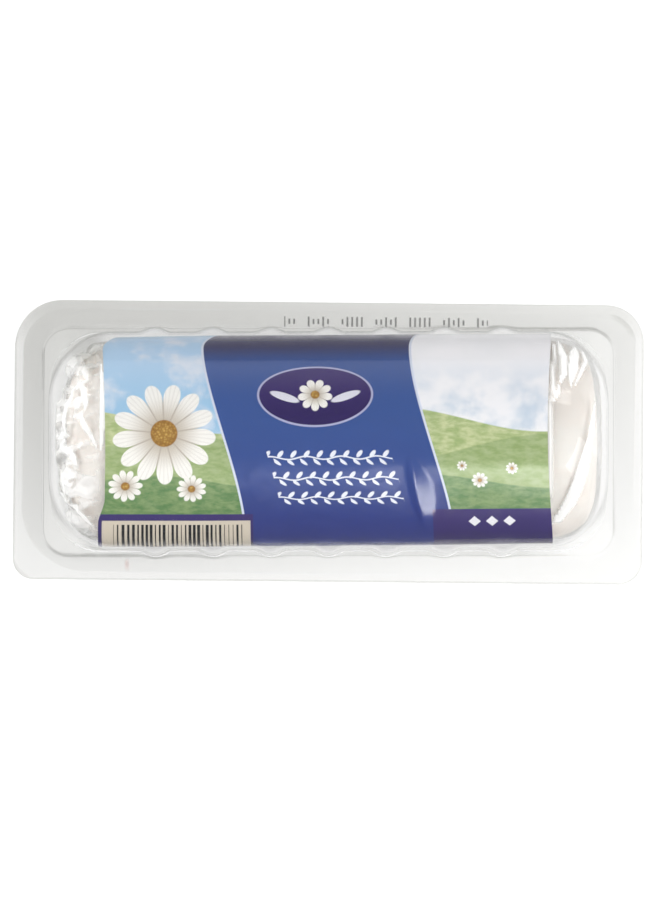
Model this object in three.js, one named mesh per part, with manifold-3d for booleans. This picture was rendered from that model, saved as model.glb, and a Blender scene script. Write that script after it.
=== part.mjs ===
// Soft goat cheese log in its shop pack: a clear ribbed blister sealed to a flat backing film, with
// the log in crumpled clear wrap and an arched paper label inside. The pack lies on its backing film.
// Millimetres: X runs along the log, Y across it, Z up from the underside of the backing film.
import * as THREE from 'three';
import { LoftGeometry } from 'three/addons/geometries/LoftGeometry.js';
import { mergeVertices } from 'three/addons/utils/BufferGeometryUtils.js';
import Module from 'manifold-3d';

const wasm = await Module();
wasm.setup();

// Trimmed rim of the pack. The two upper corners are rounder than the two lower ones.
const PACK_LENGTH = 126;
const PACK_WIDTH = 56;
const PACK_HEIGHT = 34.5;
const RIM_CORNERS = { lowerRight: 4.8, upperRight: 7.5, upperLeft: 9.5, lowerLeft: 4.2 };

// Sheets that the pack is made of.
const FILM_THICKNESS = 0.3;
const BLISTER_WALL = 0.5;

// Low step round the foot of the dome.
const STEP_LENGTH = 114.8;
const STEP_WIDTH = 46.8;
const STEP_TOP = 2.2;
const STEP_CORNER = 5.5;

// Dome over the log: steep walls, an arched top along the log and rounded shoulders at both ends.
const DOME_LENGTH = 111;
const DOME_WIDTH = 44.4;
const DOME_FOOT_CORNER = 10;
const DOME_SHOULDER_CORNER = 12.5;
const WALL_LEAN_SIDE = 0.3;
const WALL_LEAN_END = 0.5;
const ARCH_FOOT = 13.5;
const SHOULDER_FOOT = 22;
const SHOULDER_LENGTH = 8;
const CROWN_ANGLE = 83;
const ARCH_STEPS = 9;

// Upright ribs on both long walls of the dome.
const RIB_COUNT = 7;
const RIB_PITCH = 11.5;
const RIB_WIDTH = 6.4;
const RIB_DEPTH = 1.15;
const RIB_FULL_TO = 9;
const RIB_FADES_AT = 24;

// Wrapped log: slumped, so it is wider than it is tall, with blunt gathered ends.
const LOG_LENGTH = 107.8;
const LOG_WIDTH = 40.5;
const LOG_BOTTOM = 0.6;
const LOG_TOP = 32.9;
const LOG_STRAIGHT = 80;
const LOG_END_BLUNTNESS = 3.2;
const LOG_BASE_SQUARENESS = 2.6;
const LOG_END_STEPS = 8;
const LOG_SIDES = 60;
const LAST_END_STEP = 0.985;
const PLEATS = [{ count: 9, depth: 0.03, turn: 0.4 }, { count: 15, depth: 0.02, turn: 1.7 }];
const PLEATS_START = 46;

// Label: an arched strip that lies just off the log and turns under it on both sides.
const LABEL_LENGTH = 87.2;
const LABEL_SHIFT = -0.5;
const LABEL_CROWN_BOW = 0.6;
const LABEL_GAP = 0.35;
const LABEL_THICKNESS = 0.4;
const LABEL_TUCK_ANGLE = 35;
const LABEL_STEPS = 50;

const CORNER_STEPS = 6;
const RIB_SAMPLES = [-1, -0.5, 0, 0.5, 1];

const radians = THREE.MathUtils.degToRad;
const equalCorners = (r) => ({ lowerRight: r, upperRight: r, upperLeft: r, lowerLeft: r });

// One level of the blister: a rounded rectangle whose long sides can carry the ribs, counterclockwise
// from above. Every level has the same number of points, so that levels can be lofted.
function level({ halfLength, halfWidth, corners, ribDepth = 0, z }) {
  const points = [];
  const longSide = (direction) => {
    for (let rib = 0; rib < RIB_COUNT; rib += 1) {
      for (const across of RIB_SAMPLES) {
        const x = (rib - (RIB_COUNT - 1) / 2) * RIB_PITCH + across * RIB_WIDTH / 2;
        const y = halfWidth + ribDepth * (1 - across * across);
        points.push(new THREE.Vector3(direction * x, -direction * y, z));
      }
    }
  };
  const corner = (sideX, sideY, startAngle, radius) => {
    for (let step = 0; step <= CORNER_STEPS; step += 1) {
      const angle = radians(startAngle + 90 * step / CORNER_STEPS);
      const x = sideX * (halfLength - radius) + radius * Math.cos(angle);
      const y = sideY * (halfWidth - radius) + radius * Math.sin(angle);
      points.push(new THREE.Vector3(x, y, z));
    }
  };
  longSide(1);
  corner(1, -1, 270, corners.lowerRight);
  corner(1, 1, 0, corners.upperRight);
  longSide(-1);
  corner(-1, 1, 90, corners.upperLeft);
  corner(-1, -1, 180, corners.lowerLeft);
  return points;
}

// Half the dome's length at a height: a leaning end wall, then a rounded shoulder.
function domeHalfLength(z) {
  const shoulderHeight = PACK_HEIGHT - SHOULDER_FOOT;
  const wall = DOME_LENGTH / 2 - WALL_LEAN_END * Math.min(1, z / SHOULDER_FOOT);
  const rise = Math.max(0, z - SHOULDER_FOOT) / shoulderHeight;
  return wall - SHOULDER_LENGTH * (1 - Math.sqrt(1 - rise * rise));
}

// Levels of the dome from its foot step to its crown, moved in by an inset for the inner face.
function domeLevels(inset) {
  const levels = [];
  const stepLevel = (z) => ({
    halfLength: STEP_LENGTH / 2 - inset,
    halfWidth: STEP_WIDTH / 2 - inset,
    corners: equalCorners(STEP_CORNER - inset),
    z,
  });
  const domeLevel = (outerZ, halfWidth, corner, drop) => {
    const fade = THREE.MathUtils.smoothstep(outerZ, RIB_FULL_TO, RIB_FADES_AT);
    levels.push({
      halfLength: domeHalfLength(outerZ) - inset,
      halfWidth,
      corners: equalCorners(Math.min(corner - inset, halfWidth)),
      ribDepth: RIB_DEPTH * (1 - fade),
      z: outerZ - drop,
    });
  };
  levels.push(stepLevel(FILM_THICKNESS + BLISTER_WALL - 2 * inset));
  levels.push(stepLevel(STEP_TOP - inset));
  domeLevel(STEP_TOP, DOME_WIDTH / 2 - inset, DOME_FOOT_CORNER, inset);
  const archHalfWidth = DOME_WIDTH / 2 - WALL_LEAN_SIDE - inset;
  const archRise = (PACK_HEIGHT - ARCH_FOOT) / Math.sin(radians(CROWN_ANGLE));
  for (let step = 0; step <= ARCH_STEPS; step += 1) {
    const angle = radians(CROWN_ANGLE * step / ARCH_STEPS);
    const up = Math.sin(angle);
    const halfWidth = archHalfWidth * Math.cos(angle);
    domeLevel(ARCH_FOOT + archRise * up, halfWidth, DOME_SHOULDER_CORNER, inset * up);
  }
  return levels.map(level);
}

// A closed geometry as a solid that can be cut.
function solidOf(geometry) {
  const bare = new THREE.BufferGeometry().copy(geometry);
  bare.deleteAttribute('normal');
  bare.deleteAttribute('uv');
  const merged = mergeVertices(bare);
  return new wasm.Manifold(new wasm.Mesh({
    numProp: 3,
    vertProperties: new Float32Array(merged.attributes.position.array),
    triVerts: new Uint32Array(merged.index.array),
  }));
}

function geometryOf(solid) {
  const { vertProperties, triVerts } = solid.getMesh();
  const geometry = new THREE.BufferGeometry();
  geometry.setAttribute('position', new THREE.BufferAttribute(vertProperties, 3));
  geometry.setIndex(new THREE.BufferAttribute(triVerts, 1));
  geometry.computeVertexNormals();
  return geometry;
}

// The blister is the rim and dome with the room for the log cut out of it from below.
function blisterGeometry() {
  const rim = { halfLength: PACK_LENGTH / 2, halfWidth: PACK_WIDTH / 2, corners: RIM_CORNERS };
  const rimLevels = [FILM_THICKNESS, FILM_THICKNESS + BLISTER_WALL].map((z) => level({ ...rim, z }));
  const capped = { capStart: true, capEnd: true };
  const outside = new LoftGeometry([...rimLevels, ...domeLevels(0)], capped);
  const inside = new LoftGeometry(domeLevels(BLISTER_WALL), capped);
  return geometryOf(solidOf(outside).subtract(solidOf(inside)));
}

// The backing film is a flat sheet with the rim's outline.
function backingFilmGeometry() {
  const points = level({
    halfLength: PACK_LENGTH / 2,
    halfWidth: PACK_WIDTH / 2,
    corners: RIM_CORNERS,
    z: 0,
  });
  const outline = new THREE.Shape(points.map(({ x, y }) => new THREE.Vector2(x, y)));
  return new THREE.ExtrudeGeometry(outline, { depth: FILM_THICKNESS, bevelEnabled: false });
}

// A point of the log's cross-section, grown by a clearance: an arch above its widest line and a
// flattened base below it. The angle is 0 on the +Y side and a quarter turn at the crown.
function logPoint(angle, clearance = 0) {
  const across = Math.cos(angle);
  const up = Math.sin(angle);
  const halfWidth = LOG_WIDTH / 2 + clearance;
  if (up >= 0) {
    return { y: halfWidth * across, z: ARCH_FOOT + (LOG_TOP - ARCH_FOOT + clearance) * up };
  }
  const power = 2 / LOG_BASE_SQUARENESS;
  const depth = ARCH_FOOT - LOG_BOTTOM + clearance;
  return {
    y: halfWidth * Math.sign(across) * Math.abs(across) ** power,
    z: ARCH_FOOT - depth * Math.abs(up) ** power,
  };
}

// A slice of the log at x. Towards the ends it shrinks round its axis and the wrap gathers in pleats.
function logSlice(x) {
  const past = Math.max(0, Math.abs(x) - LOG_STRAIGHT / 2) / ((LOG_LENGTH - LOG_STRAIGHT) / 2);
  const shrink = (1 - past ** LOG_END_BLUNTNESS) ** (1 / LOG_END_BLUNTNESS);
  const gather = THREE.MathUtils.smoothstep(Math.abs(x), PLEATS_START, LOG_LENGTH / 2);
  const slice = [];
  for (let side = 0; side < LOG_SIDES; side += 1) {
    const angle = 2 * Math.PI * side / LOG_SIDES;
    const pleat = PLEATS.reduce((sum, { count, depth, turn }) => (
      sum + depth * (Math.cos(count * angle + turn * Math.sign(x)) - 1)
    ), 0);
    const { y, z } = logPoint(angle);
    const size = shrink * (1 + gather * pleat);
    slice.push(new THREE.Vector3(x, y * size, ARCH_FOOT + (z - ARCH_FOOT) * size));
  }
  return slice;
}

function wrappedLogGeometry() {
  const endLength = (LOG_LENGTH - LOG_STRAIGHT) / 2;
  const stations = [];
  for (let step = 0; step <= LOG_END_STEPS; step += 1) {
    const along = LAST_END_STEP * Math.sin(Math.PI / 2 * step / LOG_END_STEPS);
    stations.push(LOG_STRAIGHT / 2 + endLength * along);
  }
  const slices = [...stations.map((x) => -x).reverse(), ...stations].map(logSlice);
  return new LoftGeometry(slices, { capStart: true, capEnd: true });
}

// The label follows the log's section from one tucked edge over the crown to the other. Its side
// edges draw in a little at the crown.
function labelGeometry() {
  const tuck = radians(LABEL_TUCK_ANGLE);
  const sections = [];
  for (let step = 0; step <= LABEL_STEPS; step += 1) {
    const angle = -tuck + (Math.PI + 2 * tuck) * step / LABEL_STEPS;
    const halfLength = LABEL_LENGTH / 2 - LABEL_CROWN_BOW * Math.max(0, Math.sin(angle));
    const inner = logPoint(angle, LABEL_GAP);
    const outer = logPoint(angle, LABEL_GAP + LABEL_THICKNESS);
    sections.push([
      new THREE.Vector3(LABEL_SHIFT - halfLength, inner.y, inner.z),
      new THREE.Vector3(LABEL_SHIFT + halfLength, inner.y, inner.z),
      new THREE.Vector3(LABEL_SHIFT + halfLength, outer.y, outer.z),
      new THREE.Vector3(LABEL_SHIFT - halfLength, outer.y, outer.z),
    ]);
  }
  return new LoftGeometry(sections, { capStart: true, capEnd: true });
}

function piece(name, geometry, finish) {
  const mesh = new THREE.Mesh(geometry, new THREE.MeshStandardMaterial({ metalness: 0, ...finish }));
  mesh.name = name;
  return mesh;
}

const clearPlastic = { color: 0xf1f3f0, roughness: 0.08, transparent: true, opacity: 0.3 };

const pack = new THREE.Group();
pack.add(piece('backing_film', backingFilmGeometry(), { ...clearPlastic, roughness: 0.2 }));
pack.add(piece('blister', blisterGeometry(), clearPlastic));
pack.add(piece('wrapped_log', wrappedLogGeometry(), { color: 0xf3eeea, roughness: 0.35 }));
pack.add(piece('label', labelGeometry(), { color: 0x47609a, roughness: 0.3 }));

export default pack;
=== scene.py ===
# %% [markdown]
# # A goat cheese log in its clear shop pack
# The object is a soft white cheese log in crumpled clear wrap, with a printed paper label arched over
# it. A clear blister with ribbed walls is sealed over the log on a flat film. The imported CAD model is
# the frame: every piece below is made at its size and in its place, in metres, and stands for its
# plain solid.

# %% Load the frame
import math
import random

import bmesh
import bpy
from mathutils import Matrix, Vector, noise


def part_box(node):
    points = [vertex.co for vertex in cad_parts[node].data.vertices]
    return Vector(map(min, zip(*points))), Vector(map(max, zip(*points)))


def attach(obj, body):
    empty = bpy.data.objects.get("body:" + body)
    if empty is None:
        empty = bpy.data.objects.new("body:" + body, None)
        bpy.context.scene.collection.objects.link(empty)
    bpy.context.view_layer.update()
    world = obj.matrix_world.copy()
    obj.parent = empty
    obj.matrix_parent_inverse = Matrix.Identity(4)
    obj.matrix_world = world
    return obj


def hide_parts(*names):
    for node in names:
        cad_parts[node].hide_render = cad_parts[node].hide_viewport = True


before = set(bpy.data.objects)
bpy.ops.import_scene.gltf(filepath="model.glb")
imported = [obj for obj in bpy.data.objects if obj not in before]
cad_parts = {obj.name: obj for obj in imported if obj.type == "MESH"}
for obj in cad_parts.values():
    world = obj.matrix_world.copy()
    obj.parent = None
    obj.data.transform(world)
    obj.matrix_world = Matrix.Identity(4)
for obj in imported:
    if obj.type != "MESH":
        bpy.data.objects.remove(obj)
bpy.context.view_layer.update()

# %% [markdown]
# ## Sizes
# The outer sizes are read from the frame's boxes. Sizes that a box can't give, such as the radii of the
# rim's corners and the height where the log's arch starts, are named in millimetres, as on a drawing.

# %% Sizes from the frame
MM = 0.001

_, rim_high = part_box("blister")
film_low, film_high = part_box("backing_film")
log_low, log_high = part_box("wrapped_log")

RIM_CORNERS = {
    "lower_right": 4.8 * MM,
    "upper_right": 7.5 * MM,
    "upper_left": 9.5 * MM,
    "lower_left": 4.2 * MM,
}
ARCH_FOOT = 13.5 * MM
print("pack", [round(s / MM, 1) for s in rim_high - film_low], "mm")

# %% [markdown]
# ## A skin swept through rings
# Most pieces here are skins that pass through a row of closed outlines: the blister from its rim up to
# its crown, the log from end to end. Lofting tools could do this from curves. The bmesh way is short: a
# circle is laid on the first outline, and its ring of edges is extruded and laid on each next one. An
# integer layer remembers each vertex's place in the ring, because extruding doesn't promise an order.

# %% Sweep helper
def verts_in(geometry):
    return [part for part in geometry if isinstance(part, bmesh.types.BMVert)]


def sweep(outlines):
    """A bmesh skin through closed outlines of equal length, with the edges of its two end rings."""
    bm = bmesh.new()
    place = bm.verts.layers.int.new("place")
    first = bmesh.ops.create_circle(bm, cap_ends=False, radius=1.0, segments=len(outlines[0]))["verts"]
    for index, vert in enumerate(first):
        vert[place] = index
        vert.co = outlines[0][index]
    first_edges = bm.edges[:]
    edges = first_edges
    for outline in outlines[1:]:
        grown = bmesh.ops.extrude_edge_only(bm, edges=edges)["geom"]
        edges = [part for part in grown if isinstance(part, bmesh.types.BMEdge)]
        for vert in verts_in(grown):
            vert.co = outline[vert[place]]
    return bm, first_edges, edges


SQUARE = ((1, 0), (0, 1), (-1, 0), (0, -1))
trial, _, _ = sweep([[Vector((x, y, z)) for x, y in SQUARE] for z in (0, 1)])
print("a sweep through two squares has", len(trial.faces), "faces")
trial.free()

# %% [markdown]
# ## From a mesh to a piece
# Every piece ends the same way: its faces are shaded smooth apart from sharp edges, it gets its material,
# and the frame's solid that it stands for is hidden. An open skin also has to know its upper side before
# it is given thickness. Both could be done by hand in the viewport, but then the script couldn't be rerun.

# %% Finish a piece
SHARP_ANGLE = math.radians(38)


def face_up(bm):
    """Turns the faces of an open skin so that the highest one looks up."""
    bmesh.ops.recalc_face_normals(bm, faces=bm.faces)
    if max(bm.faces, key=lambda face: face.calc_center_median().z).normal.z < 0:
        bmesh.ops.reverse_faces(bm, faces=bm.faces)


def make_piece(bm, name, node, material):
    """Turns a finished bmesh into a smooth object that stands for a CAD node and rides on the pack."""
    mesh = bpy.data.meshes.new(name)
    for face in bm.faces:
        face.smooth = True
    for edge in bm.edges:
        edge.smooth = edge.calc_face_angle(0.0) < SHARP_ANGLE
    bm.to_mesh(mesh)
    bm.free()
    piece = bpy.data.objects.new(name, mesh)
    bpy.context.scene.collection.objects.link(piece)
    mesh.materials.append(material)
    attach(piece, "root")
    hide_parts(node)
    triangles = sum(len(polygon.vertices) - 2 for polygon in mesh.polygons)
    print(f"{name}: {triangles} triangles, {[round(s / MM, 1) for s in piece.dimensions]} mm")
    return piece


print("edges sharper than", round(math.degrees(SHARP_ANGLE)), "degrees stay sharp")


# %% Soft steps
def smoothstep(low, high, value):
    """0 at low, 1 at high and a soft S between; low may be the larger number."""
    t = min(1.0, max(0.0, (value - low) / (high - low)))
    return t * t * (3 - 2 * t)


def lerp(start, end, share):
    return start + (end - start) * share


print("a soft step in quarters:", [round(smoothstep(0, 4, quarter), 2) for quarter in range(5)])

# %% [markdown]
# ## Node helper
# Patterns are written as sums: `Field` wraps one number that varies over a surface, and its arithmetic
# adds Math nodes. Chaining the nodes by hand would take pages and hide the shapes in wiring.

# %% Fields
class Field:
    """A number that varies over a surface: an output socket whose arithmetic adds Math nodes."""

    def __init__(self, tree, socket):
        self.tree = tree
        self.socket = socket

    def math(self, operation, *others):
        node = self.tree.nodes.new("ShaderNodeMath")
        node.operation = operation
        for slot, value in zip(node.inputs, (self, *others)):
            if isinstance(value, Field):
                self.tree.links.new(value.socket, slot)
            else:
                slot.default_value = value
        return Field(self.tree, node.outputs[0])

    def __add__(self, other):
        return self.math("ADD", other)

    def __sub__(self, other):
        return self.math("SUBTRACT", other)

    def __mul__(self, other):
        return self.math("MULTIPLY", other)

    def __neg__(self):
        return self.math("MULTIPLY", -1.0)

    def sin(self):
        return self.math("SINE")

    def high(self, other):
        return self.math("MAXIMUM", other)

    def low(self, other):
        return self.math("MINIMUM", other)

    def size(self):
        return self.math("ABSOLUTE")

    def repeat(self, span):
        """The same number folded into one span round zero, for a pattern that repeats."""
        return self.math("WRAP", span / 2, -span / 2)

    def map(self, low, high, to_low=0.0, to_high=1.0):
        node = self.tree.nodes.new("ShaderNodeMapRange")
        node.interpolation_type = "SMOOTHSTEP"
        self.tree.links.new(self.socket, node.inputs["Value"])
        for name, value in (("From Min", low), ("From Max", high), ("To Min", to_low), ("To Max", to_high)):
            node.inputs[name].default_value = value
        return Field(self.tree, node.outputs["Result"])


# %% Colours and nodes
def srgb(red, green, blue):
    """A colour as seen on screen, 0 to 255, as the linear colour that shaders take."""
    def linear(channel):
        share = channel / 255
        return share / 12.92 if share <= 0.04045 else ((share + 0.055) / 1.055) ** 2.4
    return (linear(red), linear(green), linear(blue), 1.0)


def new_material(name):
    material = bpy.data.materials.new(name)
    material.use_nodes = True
    material.node_tree.nodes.clear()
    print("material:", name)
    return material, material.node_tree


def add(tree, kind, **inputs):
    """A new node with its named inputs set, or linked where the value is a Field or a socket."""
    node = tree.nodes.new("ShaderNode" + kind)
    for name, value in inputs.items():
        slot = node.inputs[name.replace("_", " ")]
        if isinstance(value, Field):
            tree.links.new(value.socket, slot)
        elif isinstance(value, bpy.types.NodeSocket):
            tree.links.new(value, slot)
        else:
            slot.default_value = value
    return node


print("screen grey 128 is", round(srgb(128, 128, 128)[0], 3), "in linear light")


# %% Shaders and noise
def surface(tree, shader):
    output = tree.nodes.new("ShaderNodeOutputMaterial")
    tree.links.new(shader.outputs[0], output.inputs["Surface"])


def mix_shader(tree, factor, first, second):
    """The first shader where a Field is 0, the second where it is 1."""
    node = tree.nodes.new("ShaderNodeMixShader")
    tree.links.new(factor.socket, node.inputs[0])
    tree.links.new(first.outputs[0], node.inputs[1])
    tree.links.new(second.outputs[0], node.inputs[2])
    return node


def blend_colour(tree, factor, first, second):
    """A colour between two, each a constant or a socket, by a Field from 0 to 1."""
    node = tree.nodes.new("ShaderNodeMix")
    node.data_type = "RGBA"
    tree.links.new(factor.socket, node.inputs["Factor"])
    for slot, colour in ((node.inputs[6], first), (node.inputs[7], second)):
        if isinstance(colour, bpy.types.NodeSocket):
            tree.links.new(colour, slot)
        else:
            slot.default_value = colour
    return node.outputs[2]


def object_place(tree):
    """The socket of Object coordinates, which stay with a piece."""
    return tree.nodes.new("ShaderNodeTexCoord").outputs["Object"]


def object_noise(tree, scale, detail=2.0, roughness=0.5, stretch=(1, 1, 1)):
    """Noise on Object coordinates; scale is in waves per metre."""
    mapping = add(tree, "Mapping", Vector=object_place(tree), Scale=stretch)
    node = add(tree, "TexNoise", Vector=mapping.outputs[0], Scale=scale, Detail=detail, Roughness=roughness)
    return Field(tree, node.outputs["Fac"])


def bump(tree, height, distance, strength=1.0):
    return add(tree, "Bump", Height=height, Distance=distance, Strength=strength).outputs["Normal"]


# %% [markdown]
# ## Flat shapes
# Print is made of plain shapes. Image files could hold them; here most functions give the distance to a
# shape's outline, below zero inside it, so shapes can be joined with the lower distance and cut with the
# higher one.

# %% Flat shapes
def inside(distance, soft=0.15):
    """1 inside a shape, where its distance is below zero, and 0 outside; its soft rim is in millimetres."""
    return distance.map(soft / 2, -soft / 2)


def disc(x, y, radius):
    return (x * x + y * y).math("SQRT") - radius


def oval(x, y, half_length, half_height):
    flat_x = x * (1 / half_length)
    flat_y = y * (1 / half_height)
    return ((flat_x * flat_x + flat_y * flat_y).math("SQRT") - 1.0) * min(half_length, half_height)


def bar(x, y, half_length, half_height):
    return (x.size() - half_length).high(y.size() - half_height)


def lozenge(x, y, half_length, half_height):
    return (x.size() * (1 / half_length) + y.size() * (1 / half_height) - 1.0) * min(half_length, half_height)


def turned(x, y, degrees):
    angle = math.radians(degrees)
    return x * math.cos(angle) + y * math.sin(angle), y * math.cos(angle) - x * math.sin(angle)


def daisy_petals(x, y, radius, petals):
    angle = y.math("ARCTAN2", x)
    scallop = (angle * (petals / 2)).sin().size().math("POWER", 0.4)
    return (x * x + y * y).math("SQRT") - scallop * (0.5 * radius) - 0.5 * radius


print("flat shapes:", ", ".join(shape.__name__ for shape in (disc, oval, bar, lozenge, daisy_petals)))

# %% [markdown]
# ## Clear sheet
# The blister, the film and the wrap are thin clear plastic. A glass shader would bend light at both faces
# of a wall that is seen on edge and trap it there, which draws black lines. A sheet this thin hardly bends
# light, so each face lets it straight through and mirrors a share that grows at flat angles. Numbers on a
# mesh make it greyer, whiter or duller in places: its grey is partly a pressed seal and mostly painted
# shade, its white is a painted highlight, and its dulling weakens its mirror.

# %% Clear sheet material
MIRROR_HEAD_ON = 0.04
CLEAR_TINT = (0.99, 0.99, 0.987, 1)
# A grey that is partly a pressed seal and mostly painted shade.
GREY_AND_SHADE_TINT = (0.8, 0.8, 0.785, 1)
# The white of a painted highlight along the dome's root.
PAINTED_HIGHLIGHT_WHITE = (0.93, 0.93, 0.93, 1)
HAZY_SHINE = 0.3


def mirror_share(tree):
    """How much a face mirrors: a few percent head on, all of it at a grazing angle (Schlick's rule)."""
    facing = add(tree, "LayerWeight", Blend=0.5)
    grazing = Field(tree, facing.outputs["Facing"]).math("POWER", 5.0)
    return grazing * (1 - MIRROR_HEAD_ON) + MIRROR_HEAD_ON


def attribute(tree, name):
    node = tree.nodes.new("ShaderNodeAttribute")
    node.attribute_name = name
    return Field(tree, node.outputs["Fac"])


def clear_sheet(name, marks=()):
    """Clear plastic with printed marks; stored numbers add grey, partly a pressed seal and mostly painted
    shade, a painted highlight in white, and haze that dulls its mirror.
    """
    material, tree = new_material(name)
    # The stored grey is partly a pressed seal and mostly painted shade.
    colour = blend_colour(tree, attribute(tree, "grey_and_painted_shade"), CLEAR_TINT, GREY_AND_SHADE_TINT)
    sheet = add(tree, "BsdfTransparent", Color=colour)
    # A painted highlight, laid on in white by the stored "pale" share.
    white = add(tree, "BsdfDiffuse", Color=PAINTED_HIGHLIGHT_WHITE)
    sheet = mix_shader(tree, attribute(tree, "pale"), sheet, white)
    for mask, ink in marks:
        sheet = mix_shader(tree, mask(tree), sheet, add(tree, "BsdfDiffuse", Color=ink))
    ripple = bump(tree, object_noise(tree, 90, 1.0), 0.03 * MM)
    rough = object_noise(tree, 400, 0.0).map(0.35, 0.75, 0.04, 0.1)
    gloss = add(tree, "BsdfGlossy", Color=(1, 1, 1, 1), Roughness=rough, Normal=ripple)
    shine = mirror_share(tree) * attribute(tree, "hazy").map(0, 1, 1.0, HAZY_SHINE)
    surface(tree, mix_shader(tree, shine, sheet, gloss))
    return material


print("a clear face mirrors", MIRROR_HEAD_ON, "of the light head on")

# %% [markdown]
# ## The blister
# The blister is one vacuum-formed sheet: a flat rim, a track pressed down where it is sealed to the film,
# a low step, then the dome with upright ribs that stiffen its long walls. A bevelled box would round every
# edge alike. Each level of the real sheet is a rounded rectangle of its own, so the skin is swept from the
# rim's cut edge up to the crown, and then given thickness.

# %% One level of the blister
RIB_COUNT = 7
RIB_PITCH = 11.5 * MM
RIB_WIDTH = 6.4 * MM
RIB_DEPTH = 1.1 * MM
SIDE_POINTS = 155
SIDE_REACH = 38.5 * MM
CORNER_POINTS = 17
END_POINTS = 8


def rib_at(x):
    """How far a rib stands out of the wall at x, as a share of its depth."""
    nearest = max(-(RIB_COUNT // 2), min(RIB_COUNT // 2, round(x / RIB_PITCH)))
    across = min(1.0, abs(x - nearest * RIB_PITCH) / (RIB_WIDTH / 2))
    return (1 - across * across) ** 1.4


def level(half_length, half_width, corners, z, rib_depth=0.0):
    """A rounded rectangle at a height, counterclockwise from above, with the ribs on its long sides."""
    points = []

    def long_side(side):
        for step in range(SIDE_POINTS):
            x = SIDE_REACH * (2 * step / (SIDE_POINTS - 1) - 1)
            points.append(Vector((side * x, -side * (half_width + rib_depth * rib_at(x)), z)))

    def corner(side_x, side_y, start, radius):
        for step in range(CORNER_POINTS):
            angle = math.radians(start + 90 * step / (CORNER_POINTS - 1))
            points.append(Vector((side_x * (half_length - radius) + radius * math.cos(angle),
                                  side_y * (half_width - radius) + radius * math.sin(angle), z)))

    def end(side, lower_radius, upper_radius):
        low = -(half_width - lower_radius)
        high = half_width - upper_radius
        for step in range(1, END_POINTS + 1):
            share = step / (END_POINTS + 1)
            y = lerp(low, high, share if side > 0 else 1 - share)
            points.append(Vector((side * half_length, y, z)))

    long_side(1)
    corner(1, -1, 270, corners["lower_right"])
    end(1, corners["lower_right"], corners["upper_right"])
    corner(1, 1, 0, corners["upper_right"])
    long_side(-1)
    corner(-1, 1, 90, corners["upper_left"])
    end(-1, corners["lower_left"], corners["upper_left"])
    corner(-1, -1, 180, corners["lower_left"])
    return points


def equal_corners(radius):
    return dict.fromkeys(RIM_CORNERS, radius)


print("one level of the blister has", len(level(rim_high.x, rim_high.y, RIM_CORNERS, 0.0)), "points")

# %% Levels from rim to crown
SHEET = 0.35 * MM
RIM_TOP = film_high.z + 0.5 * MM
SEAL_MARGIN = 1.6 * MM
SEAL_PRESS = 0.12 * MM
SEAL_CORNERS = {
    "lower_right": 9 * MM,
    "upper_right": 6.5 * MM,
    "upper_left": 8.5 * MM,
    "lower_left": 13 * MM,
}
STEP_HALF = (57.4 * MM, 23.1 * MM)
STEP_TOP = 2.2 * MM
STEP_CORNER = 5.5 * MM
STEP_LEAN = 0.1 * MM
DOME_HALF = (55.5 * MM, 21.8 * MM)
DOME_FOOT_CORNER = 10 * MM
DOME_SHOULDER_CORNER = 12.5 * MM
WALL_LEAN = (0.5 * MM, 0.2 * MM)
SHOULDER_FOOT = 22 * MM
SHOULDER_LENGTH = 8 * MM
RIB_FULL_TO = 9 * MM
RIB_FADES_AT = 24 * MM
STEP_BEND = 0.22 * MM
ROOT_BEND = 0.16 * MM
STEP_RIB = 0.4 * MM
BEND_STEPS = 4
WALL_STEPS = 8
ARCH_STEPS = 30
CROWN_ANGLE = 89.6
MARGIN_SHARES = (0, 0.15, 0.3, 0.6, 0.92, 1)
TRACK_SHARES = (0, 0.04, 0.2, 0.4, 0.6, 0.8, 0.95)
RISER_SHARES = (0.15, 0.85)
LEDGE_SHARES = (0.12, 0.88)


def dome_half_length(z):
    wall = DOME_HALF[0] - WALL_LEAN[0] * min(1.0, z / SHOULDER_FOOT)
    rise = min(1.0, max(0.0, z - SHOULDER_FOOT) / (rim_high.z - SHOULDER_FOOT))
    return wall - SHOULDER_LENGTH * (1 - math.sqrt(1 - rise * rise))


def quarter_turn():
    return [math.pi / 2 * step / BEND_STEPS for step in range(BEND_STEPS + 1)]


def between(start, end, shares):
    """Outlines on the way from one to another; those close to a bend keep the flat beside it flat."""
    return [[a.lerp(b, share) for a, b in zip(start, end)] for share in shares]


def step_level(out, z):
    return level(STEP_HALF[0] + out, STEP_HALF[1] + out, equal_corners(STEP_CORNER + out), z, STEP_RIB)


def wall_level(half_width, out, corner, z):
    fade = 1 - smoothstep(RIB_FULL_TO, RIB_FADES_AT, z)
    radius = min(corner, half_width) + out
    return level(dome_half_length(z) + out, half_width + out, equal_corners(radius), z, RIB_DEPTH * fade)


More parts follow.
